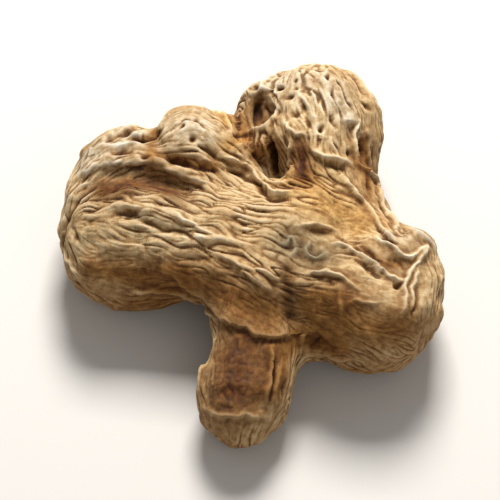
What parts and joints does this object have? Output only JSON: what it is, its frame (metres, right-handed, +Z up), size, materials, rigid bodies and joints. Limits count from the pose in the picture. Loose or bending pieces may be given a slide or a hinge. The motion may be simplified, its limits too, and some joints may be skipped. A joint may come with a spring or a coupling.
{
  "type": "dried ginger root",
  "caption": "Dried whole ginger rhizome with stubby fingers and deeply wrinkled tan skin, lying on its flattened underside; a spice or still-life prop.",
  "frame": {"origin": "on the surface that the root lies on, under the middle of its bounding box", "axes": "+Z up from the flattened underside, +Y along the upper finger, +X towards the right-hand lobe"},
  "size_m": [0.065, 0.0698, 0.0235],
  "materials": {
    "dried_ginger_skin": "dry, matt, shrivelled skin with pale ridges and brown creases"
  },
  "bodies": {
    "root": {"ginger_rhizome": "dried_ginger_skin"}
  },
  "joints": []
}
